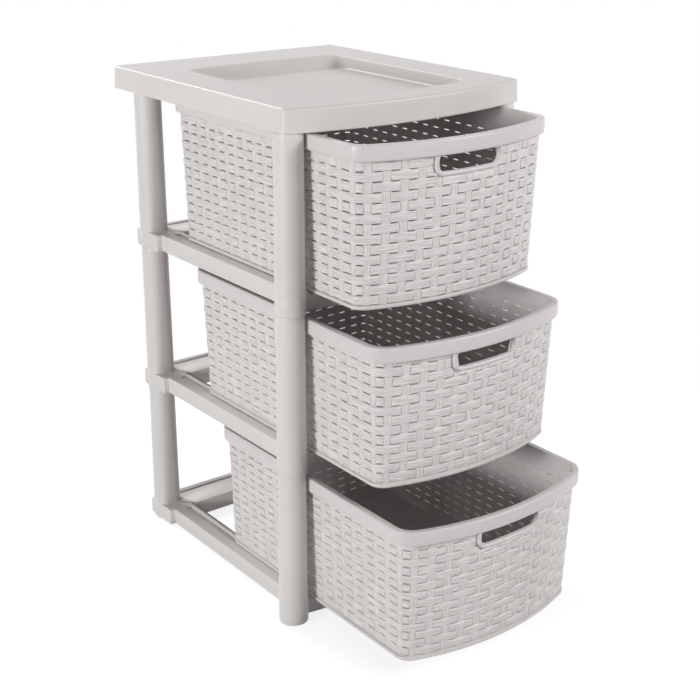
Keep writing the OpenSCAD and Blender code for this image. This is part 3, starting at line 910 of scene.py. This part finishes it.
def seen_straight(tree):
    """1 for what is seen by the camera, in a gloss or through a clear material, and 0 for light"""
    path = put(tree, "ShaderNodeLightPath").outputs
    seen = put(tree, "ShaderNodeMath", {0: path["Is Camera Ray"], 1: path["Is Glossy Ray"]},
               operation="MAXIMUM")
    seen = put(tree, "ShaderNodeMath", {0: seen.outputs[0], 1: path["Is Transmission Ray"]},
               operation="MAXIMUM")
    return seen.outputs[0]


def plain_pale_floor(look):
    """A plain painted floor: dull and pale, with a faint shadow that fades to white farther out."""
    material, tree = start_material("plain_pale_floor")
    if tree is None:
        return material
    place = put(tree, "ShaderNodeTexCoord").outputs["Object"]
    away = put(tree, "ShaderNodeVectorMath", {0: place}, operation="LENGTH")
    fade = put(tree, "ShaderNodeMapRange", {"Value": away.outputs["Value"], "From Min": WHITE_FROM,
                                            "From Max": WHITE_TO}, interpolation_type="SMOOTHSTEP")
    seen = seen_straight(tree)
    amount = put(tree, "ShaderNodeMath", {0: fade.outputs[0], 1: seen}, operation="MULTIPLY")
    plain = put(tree, "ShaderNodeBsdfDiffuse", {"Color": look.floor_colour})
    # what the camera sees keeps the shadow, but only as a pale one
    faint = put(tree, "ShaderNodeBsdfDiffuse", {"Color": shade_of(look.floor_colour, 0.5)})
    glow = put(tree, "ShaderNodeEmission", {"Strength": look.floor_glow})
    pale = put(tree, "ShaderNodeAddShader", {0: faint.outputs[0], 1: glow.outputs[0]})
    near = put(tree, "ShaderNodeMixShader", {0: seen, 1: plain.outputs[0], 2: pale.outputs[0]})
    white = put(tree, "ShaderNodeEmission", {"Color": (1, 1, 1, 1), "Strength": 1.0})
    both = put(tree, "ShaderNodeMixShader", {0: amount.outputs[0], 1: near.outputs[0], 2: white.outputs[0]})
    put(tree, "ShaderNodeOutputMaterial", {"Surface": both.outputs[0]})
    return material


class TOWER_OT_stage(bpy.types.Operator):
    """Set the floor, lamps, world and camera"""
    bl_idname = "tower.stage"
    bl_label = "Set stage"

    def execute(self, context):
        scene = context.scene
        look = scene.tower_stage
        scene.view_settings.view_transform = "Standard"
        self.floor(scene, look)
        self.world(scene, look)
        self.lamps(scene, look)
        self.camera(scene)
        return {"FINISHED"}

    def floor(self, scene, look):
        corners = [(x * FLOOR_REACH, y * FLOOR_REACH, FLOOR_Z)
                   for x, y in ((-1, -1), (1, -1), (1, 1), (-1, 1))]
        mesh = bpy.data.meshes.new("plain_floor")
        mesh.from_pydata(corners, [], [(0, 1, 2, 3)])
        mesh.materials.append(plain_pale_floor(look))
        floor = bpy.data.objects.new("plain_floor", mesh)
        scene.collection.objects.link(floor)

    def world(self, scene, look):
        """even light from all round, in front of a background that is seen as white"""
        world = bpy.data.worlds.new("studio")
        scene.world = world
        world.use_nodes = True
        tree = world.node_tree
        tree.nodes.clear()
        sky = put(tree, "ShaderNodeBackground", {"Color": (1, 1, 1, 1), "Strength": look.sky})
        white = put(tree, "ShaderNodeBackground", {"Color": (1, 1, 1, 1), "Strength": 1.0})
        both = put(tree, "ShaderNodeMixShader", {0: seen_straight(tree), 1: sky.outputs[0],
                                                 2: white.outputs[0]})
        put(tree, "ShaderNodeOutputWorld", {"Surface": both.outputs[0]})

    def lamps(self, scene, look):
        for name, (direction, size) in LAMPS.items():
            lamp = bpy.data.lights.new(f"{name}_lamp", "AREA")
            lamp.energy, lamp.size, lamp.shape = getattr(look, f"{name}_power"), size, "SQUARE"
            stand = bpy.data.objects.new(f"{name}_lamp", lamp)
            stand.location = Vector(direction).normalized() * LAMP_DISTANCE + LAMPS_LOOK_AT
            stand.rotation_euler = (LAMPS_LOOK_AT - stand.location).to_track_quat("-Z", "Y").to_euler()
            scene.collection.objects.link(stand)

    def camera(self, scene):
        turn, rise, roll = (math.radians(a) for a in CAMERA_TURN)
        back = Vector((math.sin(turn) * math.cos(rise), -math.cos(turn) * math.cos(rise), math.sin(rise)))
        right = Vector((math.cos(turn), math.sin(turn), 0))
        up = back.cross(right)
        across = right * math.cos(roll) + up * math.sin(roll)
        upward = up * math.cos(roll) - right * math.sin(roll)
        camera = bpy.data.cameras.new("camera")
        camera.lens, camera.sensor_width, camera.clip_end = CAMERA_LENS, CAMERA_SENSOR, CAMERA_REACH
        eye = bpy.data.objects.new("camera", camera)
        turned = Matrix((across, upward, back)).transposed().to_4x4()
        eye.matrix_world = Matrix.Translation(CAMERA_PLACE) @ turned
        scene.collection.objects.link(eye)
        scene.camera = eye


# ---------- add-on ----------


class TOWER_PT_panel(bpy.types.Panel):
    """Settings and steps of the drawer tower"""
    bl_idname = "TOWER_PT_panel"
    bl_label = "Drawer tower"
    bl_space_type = "VIEW_3D"
    bl_region_type = "UI"
    bl_category = "Drawer tower"

    def draw(self, context):
        layout = self.layout
        for group in SETTINGS:
            settings = getattr(context.scene, group)
            box = layout.box()
            for key in settings.__annotations__:
                box.prop(settings, key)
        for step in STEPS:
            layout.operator(step.bl_idname)


STEPS = (TOWER_OT_cover, TOWER_OT_shelves, TOWER_OT_posts, TOWER_OT_drawers, TOWER_OT_feet, TOWER_OT_stage)
SETTINGS = {"tower_cover": CoverSettings, "tower_weave": WeaveSettings, "tower_finish": FinishSettings,
            "tower_stage": StageSettings}


def register():
    for group, kind in SETTINGS.items():
        bpy.utils.register_class(kind)
        setattr(bpy.types.Scene, group, PointerProperty(type=kind))
    for kind in STEPS + (TOWER_PT_panel,):
        bpy.utils.register_class(kind)


def unregister():
    for kind in (TOWER_PT_panel,) + STEPS[::-1]:
        bpy.utils.unregister_class(kind)
    for group, kind in SETTINGS.items():
        delattr(bpy.types.Scene, group)
        bpy.utils.unregister_class(kind)


def main():
    register()
    bpy.ops.tower.cover()
    bpy.ops.tower.shelves()
    bpy.ops.tower.posts()
    bpy.ops.tower.drawers()
    bpy.ops.tower.feet()
    bpy.ops.tower.stage()


if __name__ == "__main__":
    main()
